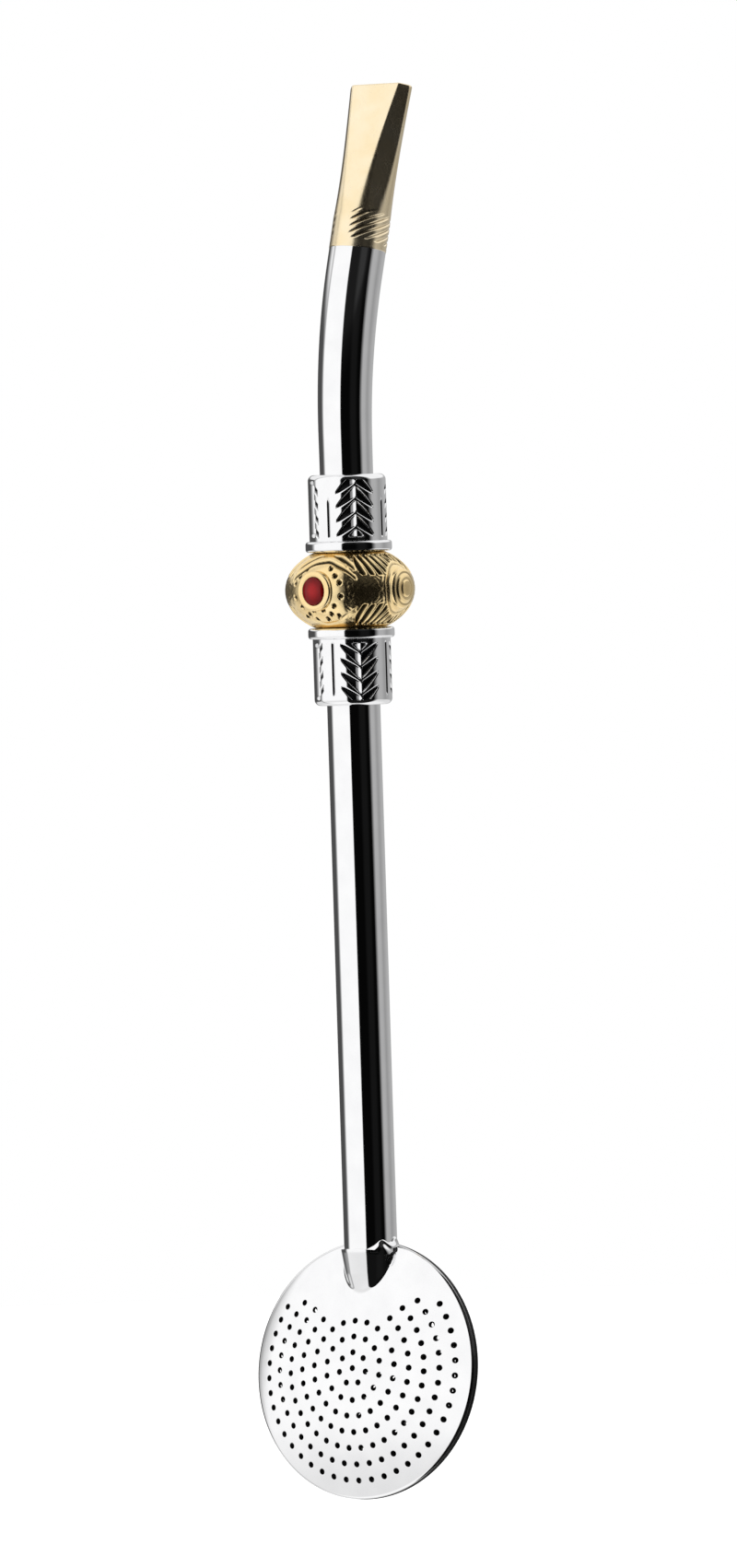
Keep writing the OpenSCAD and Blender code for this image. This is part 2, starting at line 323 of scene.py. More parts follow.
def add_piece(name, verts, faces, slot, material, nodes=(), crease=40, marks=None, place=None):
    """One piece of the object from points in millimetres, riding on the only body."""
    mesh = bpy.data.meshes.new(name)
    mesh.from_pydata((np.asarray(verts, dtype=float) * MM).tolist(), [], [list(map(int, f)) for f in faces])
    for key, values in (marks or {}).items():
        layer = mesh.attributes.new(key, "FLOAT", "POINT")
        layer.data.foreach_set("value", np.asarray(values, dtype=np.float32).ravel())
    bm = bmesh.new()
    bm.from_mesh(mesh)
    bmesh.ops.remove_doubles(bm, verts=bm.verts, dist=WELD_METRES)
    bmesh.ops.recalc_face_normals(bm, faces=bm.faces)
    if place:
        bmesh.ops.transform(bm, matrix=place, verts=bm.verts)
    bm.to_mesh(mesh)
    bm.free()
    mesh.polygons.foreach_set("use_smooth", [True] * len(mesh.polygons))
    mesh.set_sharp_from_angle(angle=math.radians(crease))
    mesh.materials.append(material)
    obj = bpy.data.objects.new(name, mesh)
    bpy.context.scene.collection.objects.link(obj)
    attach(obj, "root")
    if nodes:
        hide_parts(*nodes)


def ring_walls(chain):
    """Quads between each ring of point numbers and the next one of the chain."""
    faces = []
    for a, b in zip(chain, chain[1:]):
        for i in range(len(a)):
            k = (i + 1) % len(a)
            faces.append((a[i], a[k], b[k], b[i]))
    return faces


def add_rings(name, rings, slot, material, closed=True, **more):
    """A piece made of rings of as many points each, in a closed loop or in a chain that ends in points."""
    rings = np.asarray(rings)
    numbers = np.arange(rings.shape[0] * rings.shape[1]).reshape(rings.shape[:2]).tolist()
    faces = ring_walls(numbers + numbers[:1] if closed else numbers)
    add_piece(name, rings.reshape(-1, 3), faces, slot, material, **more)


def turns(count):
    """Evenly spaced angles of a full circle."""
    return np.arange(count) * TAU / count


def ring(radius, turn, z):
    """Points of one ring about Z; its radius and its height may vary round it."""
    return np.stack([radius * np.cos(turn), radius * np.sin(turn), np.broadcast_to(z, turn.shape)], -1)


def revolve(section, count):
    """Rings of a section of (radius, height) turned about Z."""
    return np.stack([ring(r, turns(count), h) for r, h in section])


def smooth_step(x, low, high):
    t = np.clip((np.asarray(x, dtype=float) - low) / (high - low), 0, 1)
    return t * t * (3 - 2 * t)


def between(x, rise, fall):
    """1 between a smooth step up and a smooth step down, 0 outside them."""
    return smooth_step(x, *rise) * (1 - smooth_step(x, *fall))


def arc(cx, cy, r, first, last, count):
    """Points of an arc, in degrees."""
    angles = np.radians(np.linspace(first, last, count))
    return [(cx + r * math.cos(t), cy + r * math.sin(t)) for t in angles]


def past_bend(along):
    """Placement, in metres, at the end of the bend and some way along the upper run."""
    out = Matrix.Translation(Vector((0, BEND_RADIUS, BEND_Z)) * MM)
    out = out @ Matrix.Rotation(-BEND_ANGLE, 4, "X")
    return out @ Matrix.Translation(Vector((0, -BEND_RADIUS, along)) * MM)


# Stem: one bent tube that widens a little towards the mouthpiece

def stem():
    chamfer, slack, short = 0.1, 0.03, 0.05
    bend_len = BEND_RADIUS * BEND_ANGLE
    straight = BEND_Z - NECK_END_Z
    shoulder = straight + bend_len + RUN_ABOVE_BEND
    head = shoulder + SOCKET_DEPTH - short
    outer = [0.0, 0.05, 0.2] + list(np.linspace(1, straight, 60))
    outer += list(np.linspace(straight, straight + bend_len, 50)[1:])
    outer += list(np.linspace(straight + bend_len, shoulder - 0.02, 6)[1:])
    rows = []
    for s in outer:
        widen = (STEM_HEAD_R - STEM_R) * float(smooth_step(s, straight - WIDEN_BELOW_BEND, shoulder))
        rows.append((s, STEM_R + widen - (chamfer if s == 0 else 0)))
    rows += [(shoulder, SEAT_R - slack), (head, SEAT_R - slack)]
    rows += [(s, BORE_R) for s in [head] + outer[::-1]]
    turn = turns(128)
    rings = []
    for s, r in rows:
        lean = min(max(s - straight, 0), bend_len) / BEND_RADIUS
        beyond = max(s - straight - bend_len, 0)
        y = BEND_RADIUS * (1 - math.cos(lean)) + beyond * math.sin(lean)
        z = NECK_END_Z + min(s, straight) + BEND_RADIUS * math.sin(lean) + beyond * math.cos(lean)
        out, across = r * np.cos(turn), r * np.sin(turn)
        rings.append(np.stack([out, y + across * math.cos(lean), z - across * math.sin(lean)], -1))
    add_rings("stem", rings, "silver_tube", silver_tube, nodes=["stem_tube"])


stem()


# Mouthpiece: a round foot with spiral cuts, drawn out to a flat bevelled tip with a slot

SPIRAL_STARTS = 14
SPIRAL_PITCH = 1.08
SPIRAL_LEAN = math.radians(30)
SPIRAL_DEPTH = 0.20
SPIRAL_HALF_W = 0.24
SPIRAL_DARK = 0.8


def tip_corners(turn, half_w, face_half, half_t):
    """Centres of the tip's rounded corners, for the direction in which each point of the outline faces."""
    lift = np.arcsin(np.abs(np.sin(turn)))
    low, high = BEVEL_TURN - FACE_SPREAD, BEVEL_TURN + FACE_SPREAD
    knots = (0, low, high, QUARTER - FACE_SPREAD, QUARTER)
    x = np.interp(lift, knots, (half_w, half_w, face_half, face_half, 0))
    y = np.interp(lift, knots, (0, 0, half_t, half_t, half_t))
    return np.sign(np.cos(turn)) * x, np.sign(np.sin(turn)) * y


def mouth_section(turn, s, foot_r, half_w, half_t, corner):
    """Corner radius and corner centres at a height; the corners tighten sooner than the sides flatten."""
    t = min(max(0, (s - SOCKET_DEPTH) / (MOUTH_LEN - SOCKET_DEPTH)), 1)
    r = corner + (foot_r - corner) * (1 - t) ** 3
    w = (1 - t) * foot_r + t * half_w - r
    h = (1 - t) * foot_r + t * half_t - r
    return r, tip_corners(turn, w, w - h * math.tan(BEVEL_TURN), h)


def mouth_rows(turn):
    """Height, radius, corner centres and kind of each row, up the outside and down the inside."""
    chased_to = 6.6
    tip_from = MOUTH_LEN - TIP_ROUND
    slot_drop, slot_flare, rim_fall = 0.1, 0.03, 0.02
    lip, head_r = 0.02, STEM_HEAD_R + 0.005

    def outside(s):
        return mouth_section(turn, s, MOUTH_R, TIP_HALF_W, TIP_HALF_T, TIP_CORNER)

    def inside(s):
        return mouth_section(turn, s, BORE_R, TIP_HALF_W - TIP_SIDE_WALL, TIP_HALF_T - TIP_WALL, SLOT_CORNER)

    foot_edge = ((0, 0.03), (0.03, 0.01), (0.08, 0))
    rows = [(s, MOUTH_R - inset, outside(0)[1], "plain") for s, inset in foot_edge]
    chased = list(np.linspace(foot_edge[-1][0], chased_to, 96)[1:])
    chased += list(np.linspace(chased_to, tip_from, 40)[1:])
    rows += [(s, *outside(s), "chased") for s in chased]
    for angle in np.radians((20, 40, 60, 80)):
        s = tip_from + TIP_ROUND * math.sin(angle)
        r, centres = outside(s)
        rows.append((s, r - TIP_ROUND * (1 - math.cos(angle)), centres, "plain"))
    rows.append((MOUTH_LEN, TIP_CORNER - TIP_ROUND - rim_fall, outside(MOUTH_LEN)[1], "plain"))
    rows.append((MOUTH_LEN - slot_drop, SLOT_CORNER + slot_flare, inside(MOUTH_LEN)[1], "inner"))
    rows += [(s, *inside(s), "inner") for s in np.linspace(tip_from, SOCKET_DEPTH, 16)]
    seat = ((SOCKET_DEPTH, SEAT_R), (lip, SEAT_R), (lip, head_r))
    rows += [(s, r, inside(0)[1], "inner") for s, r in seat]
    rows.append((0, head_r, inside(0)[1], "plain"))
    return rows


def gilding_reach(turn):
    """How far the gilding reaches down: most in front, where its edge is nearly level on the leaning stem."""
    middle, to_front, to_side, least = 0.50, 0.56, 0.20, 0.05
    from_view = turn + QUARTER - VIEW_AZIMUTH
    return np.maximum(middle + to_front * np.cos(from_view) - to_side * np.sin(from_view), least)


def spiral_cut(turn, z):
    """The spiral cuts at the foot's two sides, 1 at a cut's middle."""
    right_span, left_span = (0.10, 0.34), (0.50, 0.75)
    fade_in, fade_out = (0.2, 0.5), (4.0, 5.4)
    phase = turn / TAU * SPIRAL_STARTS - z / SPIRAL_PITCH
    away = np.abs(phase - np.round(phase)) * SPIRAL_PITCH * math.cos(SPIRAL_LEAN)
    at_sides = np.maximum(smooth_step(np.cos(turn), *right_span), smooth_step(-np.cos(turn), *left_span))
    return np.clip(1 - away / SPIRAL_HALF_W, 0, 1) * between(z, fade_in, fade_out) * at_sides


def mouthpiece():
    sides, level_from = 360, 2.5
    turn = turns(sides) + TAU / sides / 2
    reach = gilding_reach(turn)
    rings, cuts = [], []
    for s, r, (x, y), kind in mouth_rows(turn):
        z = np.full(sides, float(s))
        if kind != "inner":
            z -= reach * (1 - smooth_step(s, 0, level_from))
        cut = spiral_cut(turn, z) if kind == "chased" else np.zeros(sides)
        radius = r - SPIRAL_DEPTH * cut
        rings.append(np.stack([x + radius * np.cos(turn), y + radius * np.sin(turn), z], -1))
        cuts.append(cut)
    add_rings("mouthpiece_body", rings, "gilt_mouthpiece", gilt_mouthpiece, nodes=["mouthpiece"],
              marks={"cut": SPIRAL_DARK * np.array(cuts) ** 3}, place=past_bend(RUN_ABOVE_BEND))


mouthpiece()


# Sleeves: four chased leaves round each, two full ones with barbs on both sides of a rib and two open ones

RIB_TURN = math.radians(-45)
RIB_EDGE = 0.22
BARBS = 5
BARB_FIRST = 0.75
BARB_PITCH = 2.13
BARB_SLOPE = 0.78
BARB_HALF = 0.80
BARB_DEPTH = 0.42
LEAF_HALF = 2.95
LINE_AWAY = 4.19
LINE_HALF = 0.27
LINE_DEPTH = 0.23

# Depths between which a cut of the chasing goes from bright to dark
LEAF_DARK = (0.12, 0.32)


def leaf_barbs(side, down, open_leaf):
    """The barbs of a leaf: scoops that taper outwards on a full leaf, short dashes on an open one."""
    root, taper_len, least_half, scoop_edge = 0.4, 2.45, 0.1, (-0.30, 0.12)
    dash_edge, dash_from, dash_to = (0.28, 0.52), (1.85, 2.05), (2.75, 3.0)
    head, foot = (0.7, 1.0), (9.1, 9.5)
    dash_span = between(side, dash_from, dash_to)
    half = BARB_HALF * np.clip((LEAF_HALF - side) / taper_len, 0, 1) ** 0.5
    depth = np.zeros_like(down)
    for i in range(BARBS):
        away = np.abs(down - (BARB_FIRST + BARB_PITCH * i + BARB_SLOPE * (side - root)))
        scoop = (1 - smooth_step(away - half, *scoop_edge)) * (half > least_half)
        dash = (1 - smooth_step(away, *dash_edge)) * dash_span
        depth = np.maximum(depth, BARB_DEPTH * np.where(open_leaf, dash, scoop))
    return depth * between(down, head, foot)


def leaf_relief(u, down, line_from, open_leaf):
    """Depth of the chasing at a distance u sideways from a leaf's rib and a distance down from the free end.

    A rib with one steep and one gentle side stands in the barbs. One half of an open leaf slopes up to it.
    A thin line runs beside each leaf."""
    gentle, steep = 0.45, 3.2
    blade_slope, blade_half, blade_edge = 0.25, 1.75, 2.1
    blade_head, blade_foot = (0.7, 1.6), (8.6, 9.5)
    line_head, line_foot = (line_from, line_from + 1.2), (9.2, 9.6)
    rib = np.where(u < RIB_EDGE, gentle * (RIB_EDGE - u), steep * (u - RIB_EDGE))
    depth = np.minimum(leaf_barbs(np.abs(u), down, open_leaf), rib)
    blade = blade_slope * np.clip(u, 0, blade_half) * (1 - smooth_step(u, blade_half, blade_edge))
    blade *= between(down, blade_head, blade_foot)
    depth = np.where(open_leaf, np.maximum(depth, blade), depth)
    line = np.clip(1 - np.abs(u + LINE_AWAY) / LINE_HALF, 0, 1)
    line *= between(down, line_head, line_foot)
    return np.maximum(depth, LINE_DEPTH * line)


def sleeve(name, node, foot_z, upward):
    line_from = 3.2 if upward else 0.9
    straight = SLEEVE_LEN - SLEEVE_ROUND
    rows = [(SLEEVE_R - SLEEVE_EDGE, 0, False)]
    rows += [(SLEEVE_R, h, True) for h in np.linspace(SLEEVE_EDGE, straight, 96)]
    rows += [(r, h, False) for r, h in arc(SLEEVE_R - SLEEVE_ROUND, straight, SLEEVE_ROUND, 8, 90, 12)]
    rows += [(SEAT_R, SLEEVE_LEN, False), (SEAT_R, SLEEVE_LEN - LIP_T, False)]
    rows += [(SPIGOT_SEAT_R, SLEEVE_LEN - LIP_T, False), (SPIGOT_SEAT_R, 0, False)]
    turn = turns(480)
    from_rib = turn - RIB_TURN
    sideways = ((from_rib + QUARTER / 2) % QUARTER - QUARTER / 2) * SLEEVE_R
    open_leaf = np.round(from_rib / QUARTER).astype(int) % 2 == 1

    # The cuts are dark, apart from the rib's own flanks and an open leaf's blade
    flank_at, flank_dark = (-0.74, -0.66, -0.34, -0.22, 0.30, 0.42), (1, 0.72, 0.72, 0, 0, 1)
    blade_end = (1.5, 1.7)
    flank = np.interp(sideways, flank_at, flank_dark)
    flank *= np.where(open_leaf, smooth_step(np.abs(sideways), *blade_end), 1)
    rings, cuts = [], []
    for r, h, chased in rows:
        depth = np.zeros_like(turn)
        if chased:
            depth = leaf_relief(sideways, np.full_like(turn, SLEEVE_LEN - h), line_from, open_leaf)
        rings.append(ring(r - depth, turn, foot_z + h if upward else foot_z - h))
        cuts.append(smooth_step(depth, *LEAF_DARK) * flank)
    add_rings(name, rings, "silver_chased", silver_chased, nodes=[node], marks={"cut": cuts})


sleeve("sleeve_above_bead", "upper_sleeve", BEAD_Z + BEAD_HALF + COLLAR_T, upward=True)
sleeve("sleeve_below_bead", "lower_sleeve", BEAD_Z - BEAD_HALF - COLLAR_T, upward=False)


# Collars: plain turned rings with rounded edges

def collar(name, node, foot_z, upward):
    inset = COLLAR_R - COLLAR_ROUND
    head = COLLAR_T + SPIGOT_H
    section = [(SEAT_R, -SPIGOT_H), (SPIGOT_R, -SPIGOT_H), (SPIGOT_R, 0), (inset, 0)]
    section += arc(inset, COLLAR_ROUND, COLLAR_ROUND, -80, 0, 8)
    section += arc(inset, COLLAR_T - COLLAR_ROUND, COLLAR_ROUND, 0, 80, 8)
    section += [(inset, COLLAR_T), (SPIGOT_R, COLLAR_T), (SPIGOT_R, head), (SEAT_R, head)]
    rings = revolve(section, 192)
    rings[..., 2] = foot_z + (rings[..., 2] if upward else -rings[..., 2])
    add_rings(name, rings, "silver_turned", silver_turned, nodes=[node])


collar("collar_above_bead", "upper_collar", BEAD_Z + BEAD_HALF, upward=True)
collar("collar_below_bead", "lower_collar", BEAD_Z - BEAD_HALF, upward=False)


# Bead: two hollow shells with a lid over each stone, slanting shoulder cuts, dots, a groove round each boss

BOSS_ALONG = QUARTER * BEAD_R
LID_PEAK = (0.8, 4.95)
LID_CURVE = 0.070
HATCH_PITCH = 1.45
HATCH_FROM = 8.0
HATCH_SLOPE = 1.7
HATCH_DEPTH = 0.42
HATCH_EDGE = (0.34, 0.86)
GROOVE_R = 3.75
GROOVE_HALF = 0.26
GROOVE_DEPTH = 0.20
DOT_DEPTH = 0.34
DOT_EDGE = (0.20, 0.46)

# Depths between which a cut of the bead goes from bright to dark
BEAD_DARK = (0.08, 0.26)

# Soft edges of the bead's regions: along and up, over the lid, and away from a stone's or a boss's middle
SHOULDER_ALONG = (6.2, 7.0)
SHOULDER_UP = (2.0, 2.6)
SHOULDER_OVER_LID = (0.30, 0.60)
HATCH_FROM_BOSS = (4.1, 4.4)
GROUND_ALONG = (4.6, 5.4)
GROUND_FROM_STONE = (4.8, 5.4)
GROUND_FROM_BOSS = (4.0, 4.4)
PLAIN_UP = (5.1, 5.35)

# Places of the punched dots by the stone, along and up, on the upper and on the lower shell
STONE_DOTS = {True: ((2.4, 3.3), (3.4, 2.25), (4.15, 1.2)),
              False: ((1.0, 2.95), (1.2, 4.3), (3.1, 2.25), (3.5, 3.8), (2.3, 3.5), (4.2, 0.9))}


def lid_relief(off_peak, gap, upward):
    """A half-round lid in a shallow valley arches over the stone; under the stone it is only a thin cut."""
    valley_depth, valley_edge = 0.30, (0.50, 1.15)
    bar_half, bar_rise = 0.42, 0.75
    cut_depth, cut_half = 0.12, 0.30
    lid_end = (5.6, 6.2)
    if upward:
        bar = bar_rise * np.sqrt(np.maximum(bar_half ** 2 - gap ** 2, 0))
        depth = valley_depth * (1 - smooth_step(np.abs(gap), *valley_edge)) - bar
    else:
        depth = cut_depth * (1 - np.abs(gap) / cut_half)
    return np.maximum(depth, 0) * (1 - smooth_step(np.abs(off_peak), *lid_end))


def hatch_relief(s, z):
    """Slanting cuts, one pitch apart."""
    phase = (s + z / HATCH_SLOPE - HATCH_FROM) / HATCH_PITCH
    ridge = np.abs(phase - np.round(phase)) * 2
    return HATCH_DEPTH * (1 - smooth_step(ridge, *HATCH_EDGE))


def grain_relief(s, z):
    """A faintly grained ground."""
    middle, swing, waves = 0.05, 0.025, 5.5
    across = np.sin(s * waves + 1.7 * np.sin(z * 3.4))
    up = np.sin(z * waves + 1.3 * np.sin(s * 3.1))
    return middle - swing * across * up


def bead_relief(along, height, upward):
    """Depth of the chasing; along is the arc from the nearest stone, height is from the bead's middle."""
    hand = 1 if upward else -1
    waver_along, waver_up, waver_from = 0.06, 0.05, (0, 1.5)

    # The lines waver a little, as cut by hand
    along = along + waver_along * np.sin(2.3 * height + 0.9 * along + hand)
    z = height + waver_up * np.sin(1.9 * along + 1.1 * hand) * smooth_step(height, *waver_from)
    s = np.abs(along)
    boss_away = np.hypot(s - BOSS_ALONG, z)
    stone_away = np.hypot(s, z)
    off_peak = along - LID_PEAK[0]
    gap = (z - LID_PEAK[1] + LID_CURVE * off_peak ** 2) / np.sqrt(1 + (2 * LID_CURVE * off_peak) ** 2)

    # The shoulder lies between the lid's end and the boss, the ground below it
    shoulder = smooth_step(s, *SHOULDER_ALONG) * smooth_step(gap, *SHOULDER_OVER_LID)
    shoulder *= smooth_step(z, *SHOULDER_UP)
    ground = smooth_step(s, *GROUND_ALONG) * smooth_step(stone_away, *GROUND_FROM_STONE)
    ground *= smooth_step(boss_away, *GROUND_FROM_BOSS)
    depth = lid_relief(off_peak, gap, upward)
    depth = np.maximum(depth, hatch_relief(s, z) * shoulder * smooth_step(boss_away, *HATCH_FROM_BOSS))
    depth = np.maximum(depth, GROOVE_DEPTH * np.clip(1 - np.abs(boss_away - GROOVE_R) / GROOVE_HALF, 0, 1))
    for dot_s, dot_z in STONE_DOTS[upward]:
        dot_away = np.hypot(s - dot_s, z - dot_z)
        depth = np.maximum(depth, DOT_DEPTH * (1 - smooth_step(dot_away, *DOT_EDGE)))
    depth = np.maximum(depth, ground * (1 - shoulder) * grain_relief(s, z))
    return depth * (1 - smooth_step(z, *PLAIN_UP))


def bead_radius(height):
    """The bead's outline is half an oval, cut off flat at the collars."""
    return BEAD_R * np.sqrt(1 - (height / BEAD_OVAL) ** 2)


def bead_shell(name, node, upward):
    levels, level_spread, edge = 64, 1.35, 0.05
    inner_short, inner_taper = 0.2, 0.08
    rows = []
    for z in (BEAD_HALF - edge) * np.sin(np.linspace(0, 1, levels) * level_spread) / math.sin(level_spread):
        r = float(bead_radius(z))
        slope = math.atan2(z / BEAD_OVAL ** 2, r / BEAD_R ** 2)
        rows.append((r, z, math.cos(slope), math.sin(slope), True))
    rows += [(r, BEAD_HALF, 1, 0, False) for r in (float(bead_radius(BEAD_HALF)), SPIGOT_SEAT_R)]
    for z in np.linspace(BEAD_HALF - BEAD_WALL - inner_short, 0, 12):
        rows.append((float(bead_radius(z)) - BEAD_WALL - inner_taper * z, z, 1, 0, False))
    turn = turns(720)
    along = ((turn + TAU / 2) % (TAU / 2) - QUARTER) * BEAD_R
    rings, cuts = [], []
    for r, z, out, up, chased in rows:
        depth = bead_relief(along, np.full_like(turn, z), upward) if chased else np.zeros_like(turn)
        height = z - depth * up
        rings.append(ring(r - depth * out, turn, BEAD_Z + (height if upward else -height)))
        cuts.append(smooth_step(depth, *BEAD_DARK))
    add_rings(name, rings, "gilt_bead", gilt_bead, nodes=[node], marks={"cut": cuts})


bead_shell("bead_shell_top", "bead_upper_shell", upward=True)
bead_shell("bead_shell_bottom", "bead_lower_shell", upward=False)


# Medallions: a stone in a wide flat bezel at the front and the back, a ringed boss at each side

# The stones are slightly oval, taller than wide, and their bezels follow them
STONE_NARROW = 0.86
BEZEL_NARROW = 0.98
NARROW_BETWEEN = (2.2, 2.8)
# Where the painted glow sits in each stone, a little off its middle, and where it fades out
PAINTED_GLOW_PLACE = (0.25, 0.1)
PAINTED_GLOW_EDGE = (0.3, 1.9)

# Outlines of (radius, height): a seat's heights are from the bead's surface, the others from the stem's line
SEAT_OUTLINE = [(2.98, -0.5), (3.02, 0.02)]
BEZEL_FLAT = [(3.0, 9.65), (2.97, 9.86), (2.90, 9.99), (2.78, 10.07), (2.62, 10.10), (2.34, 10.09)]
BEZEL_INSIDE = [(2.20, 10.05), (2.11, 9.96), (2.07, 9.6), (2.0, 9.3)]
BOSS_EDGE = [(2.99, 9.42), (2.93, 9.56), (2.84, 9.63)]


def medallion_place(turn):
    """Placement on the bead's axis with +Z pointing out, at a turn about the stem in degrees."""
    out = Matrix.Translation(Vector((0, 0, BEAD_Z)) * MM)
    return out @ Matrix.Rotation(math.radians(turn), 4, "Z") @ Matrix.Rotation(math.radians(90), 4, "X")


def seated(section, sides, seat_rows):
    """A turned section, some of whose rows follow the bead's surface; x runs round the bead and y up it."""
    rings = revolve(section, sides)
    for i in seat_rows:
        rings[i, :, 2] += np.sqrt(bead_radius(rings[i, :, 1]) ** 2 - rings[i, :, 0] ** 2)
    return rings


def bezel(name, node, turn):
    section = [(2.0, -0.5)] + SEAT_OUTLINE + BEZEL_FLAT + BEZEL_INSIDE
    rings = seated(section, 128, range(3))
    narrow = np.interp([r for r, _ in section], NARROW_BETWEEN, (STONE_NARROW, BEZEL_NARROW))
    rings[..., 0] *= narrow[:, None]
    add_rings(name, rings, "gilt_bead", gilt_bead, nodes=[node],
              marks={"cut": np.zeros(rings.shape[:2])}, place=medallion_place(turn))


def stone(name, node, turn):
    girdle_r, girdle_h, dome = 2.05, 10.12, 0.46
    base_h, base_edge = 9.8, 0.05
    ball = (girdle_r ** 2 + dome ** 2) / (2 * dome)
    half = math.degrees(math.asin(girdle_r / ball))
    section = [(0, base_h), (girdle_r - base_edge, base_h), (girdle_r, base_h + base_edge)]
    section += arc(0, girdle_h + dome - ball, ball, 90 - half, 90, 14)
    rings = revolve(section, 96)
    # Painted glow of light through the stone, fading out from near its middle
    from_painted_glow = np.hypot(rings[..., 0] - PAINTED_GLOW_PLACE[0], rings[..., 1] - PAINTED_GLOW_PLACE[1])
    painted_glow = 1 - smooth_step(from_painted_glow, *PAINTED_GLOW_EDGE)
    rings[..., 0] *= STONE_NARROW
    add_rings(name, rings, "red_stone", red_stone, closed=False, nodes=[node], marks={"painted_glow": painted_glow},
              place=medallion_place(turn))


def boss(name, node, turn):
    inner_h, top_h, cap_rise, cap_from = 9.0, 10.35, 0.72, 2.76
    grooves, groove_depth, groove_half = (2.32, 1.40), 0.12, 0.26
    dark, dark_half = 0.6, 0.10
    edge_r = BOSS_EDGE[-1][0]
    ball = (edge_r ** 2 + cap_rise ** 2) / (2 * cap_rise)
    section = [(0, inner_h)] + SEAT_OUTLINE + BOSS_EDGE
    cut = [0] * len(section)
    for r in np.linspace(cap_from, 0, 47):
        sunk = sum(groove_depth * max(0, 1 - abs(r - groove) / groove_half) for groove in grooves)
        section.append((r, top_h - ball + math.sqrt(ball * ball - r * r) - sunk))
        cut.append(dark * max(max(0, 1 - abs(r - groove) / dark_half) for groove in grooves))
    rings = seated(section, 128, (1, 2))
    add_rings(name, rings, "gilt_bead", gilt_bead, closed=False, nodes=[node],
              marks={"cut": np.repeat(cut, rings.shape[1])}, place=medallion_place(turn))


bezel("bezel_front", "front_bezel", turn=0)
stone("stone_front", "front_stone", turn=0)
bezel("bezel_back", "back_bezel", turn=180)
stone("stone_back", "back_stone", turn=180)
boss("boss_right", "right_boss", turn=90)
boss("boss_left", "left_boss", turn=270)


# Filter: two pressed plates with rings of punched holes, half a socket each, and a rolled edge

NO_NECK = -9.0
HOLE_TURNS = turns(18)
RIM_TURNS = turns(288)

# Painted shade in the groove between the plates: its darkness, and the heights between which it sets in
RIM_PAINTED_SHADE = 0.95
RIM_PAINTED_SHADE_EDGE = (0.36, 0.56)


def dome_height(x, v):
    return np.sqrt(DOME_R * DOME_R - x * x - v * v) - DOME_DROP


def neck_height(x, v, sign):
    """Height of the pressed socket over the disc's own plane, or far below it where there is none.

    The socket is a bar round the stem's line that tapers down from the mouth and sinks into the dome."""
    x, v = np.broadcast_arrays(np.asarray(x, dtype=float), np.asarray(v, dtype=float))
    sin, cos = math.sin(LEAN), math.cos(LEAN)
    y0 = DISC_Y + v * sin
    z0 = DISC_Z + v * cos
    height = np.zeros(x.shape)
    for _ in range(6):
        below = np.maximum(NECK_MOUTH_Z - z0 - sign * sin * height, 0)
        beyond = np.maximum(below - NECK_LEN, 0)
        r = NECK_R - NECK_TAPER * np.minimum(below, NECK_LEN)
        r = r - NECK_SINK * beyond - NECK_SINK_GAIN * beyond ** 2
        wide = r * r - x * x
        height = (sign * y0 + np.sqrt(np.maximum(wide, 0))) / cos
    return np.where((wide > 0) & (r > 0), height, NO_NECK)


def plate_height(x, v, sign, mouth):
    """The dome with the neck's socket pressed into it, joined by a small fillet."""
    dome = dome_height(x, v)
    neck = np.where(v < mouth, neck_height(x, v, sign), NO_NECK)
    t = np.clip(0.5 + 0.5 * (neck - dome) / NECK_FILLET, 0, 1)
    return dome * (1 - t) + neck * t + NECK_FILLET * t * (1 - t)


def hole_places():
    """Middles of the holes in a plate's own plane, without those of the bare field."""
    places = []
    sin, cos = math.sin(PATTERN_TURN), math.cos(PATTERN_TURN)
    for number, count in enumerate(RING_HOLES):
        for i in range(count):
            angle = math.radians(90 + i * 360 / count)
            x, v = number * RING_PITCH * math.cos(angle), number * RING_PITCH * math.sin(angle)
            if v < BLANK_RISE + BLANK_SLOPE * abs(x):
                places.append((x * cos - v * sin, x * sin + v * cos))
    return np.array(places)


